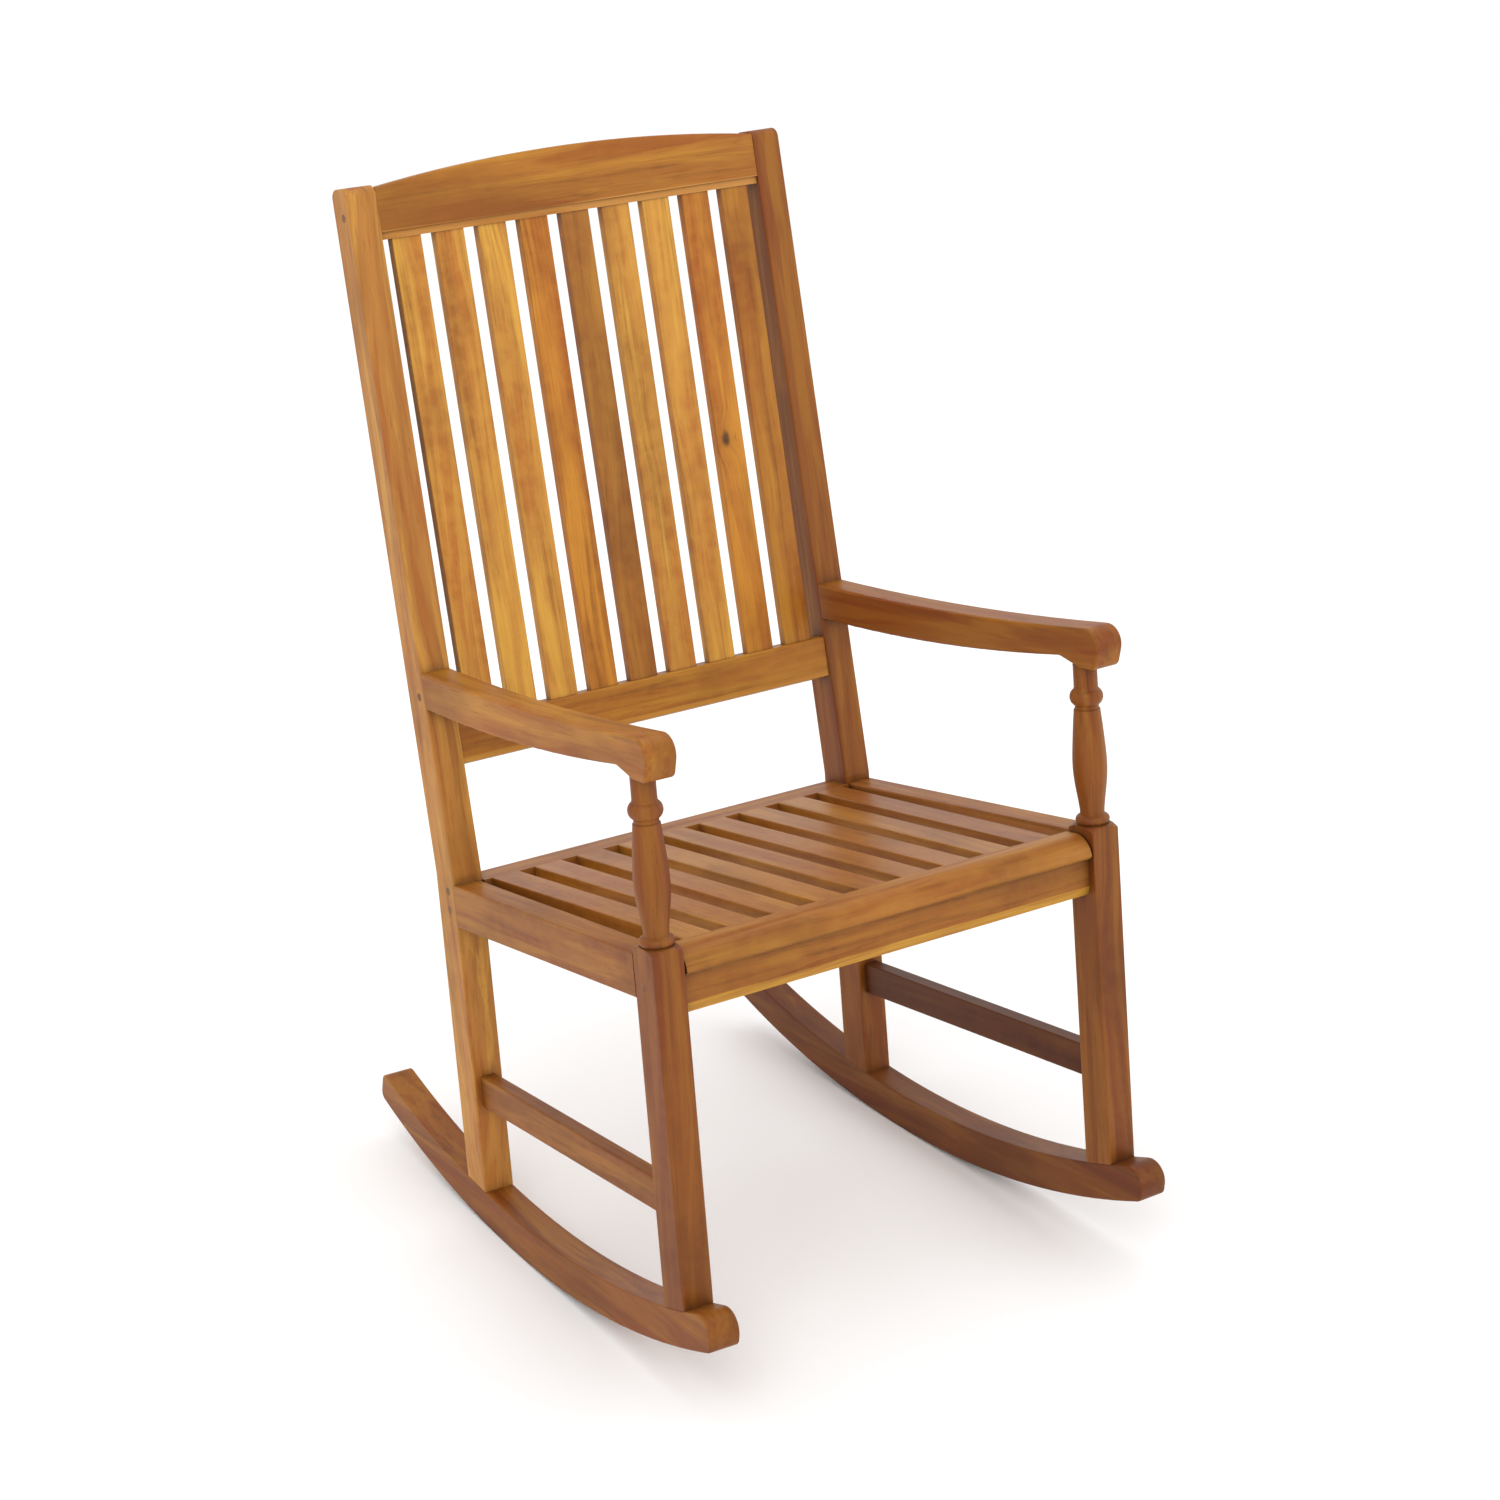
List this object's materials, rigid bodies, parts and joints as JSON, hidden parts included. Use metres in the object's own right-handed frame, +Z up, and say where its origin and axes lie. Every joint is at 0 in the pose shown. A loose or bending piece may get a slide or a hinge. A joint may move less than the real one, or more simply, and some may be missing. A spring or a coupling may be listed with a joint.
{
  "type": "rocking chair",
  "caption": "Wooden porch rocking chair with a slatted seat and tall slatted back, turned front posts, shaped arms and curved rockers",
  "frame": {"origin": "on the floor, under the middle of the chair's length and width; the rockers touch Z = 0 where the chair rests", "axes": "+Z is up with the chair standing still, -Y is the way the sitter faces, +X is the sitter's left-hand side"},
  "size_m": [0.58, 0.7468, 1.1222],
  "materials": {
    "arm_wood": "oiled hardwood, satin, straight grain along each piece",
    "back_slat_wood": "oiled hardwood, satin, straight grain along each piece",
    "seat_wood": "oiled hardwood, satin, straight grain along each piece",
    "rail_wood": "oiled hardwood, satin, straight grain along each piece",
    "rocker_wood": "oiled hardwood, satin, straight grain along each piece",
    "peg_wood": "oiled hardwood, satin, straight grain along each piece",
    "frame_wood": "oiled hardwood, satin, straight grain along each piece",
    "screw_steel": "plain zinc-plated screw, hidden under its plug"
  },
  "bodies": {
    "root": {"arm_left": "arm_wood", "arm_right": "arm_wood", "back_slat_1": "back_slat_wood", "back_slat_2": "back_slat_wood", "back_slat_3": "back_slat_wood", "back_slat_4": "back_slat_wood", "back_slat_5": "back_slat_wood", "back_slat_6": "back_slat_wood", "back_slat_7": "back_slat_wood", "back_slat_8": "back_slat_wood", "back_slat_9": "back_slat_wood", "crest_plugs": "peg_wood", "crest_rail": "rail_wood", "crest_screws": "screw_steel", "front_leg_left": "frame_wood", "front_leg_right": "frame_wood", "joint_pegs": "peg_wood", "lower_back_rail": "rail_wood", "rear_leg_left": "frame_wood", "rear_leg_right": "frame_wood", "rocker_front_left": "rocker_wood", "rocker_front_right": "rocker_wood", "rocker_rear_left": "rocker_wood", "rocker_rear_right": "rocker_wood", "seat_crossbar": "seat_wood", "seat_front_apron": "rail_wood", "seat_front_board": "seat_wood", "seat_side_rail_left": "rail_wood", "seat_side_rail_right": "rail_wood", "seat_slat_1": "seat_wood", "seat_slat_2": "seat_wood", "seat_slat_3": "seat_wood", "seat_slat_4": "seat_wood", "seat_slat_5": "seat_wood", "seat_slat_6": "seat_wood", "seat_slat_7": "seat_wood", "seat_slat_8": "seat_wood", "seat_slat_9": "seat_wood", "side_stretcher_left": "rocker_wood", "side_stretcher_right": "rocker_wood"}
  },
  "joints": []
}
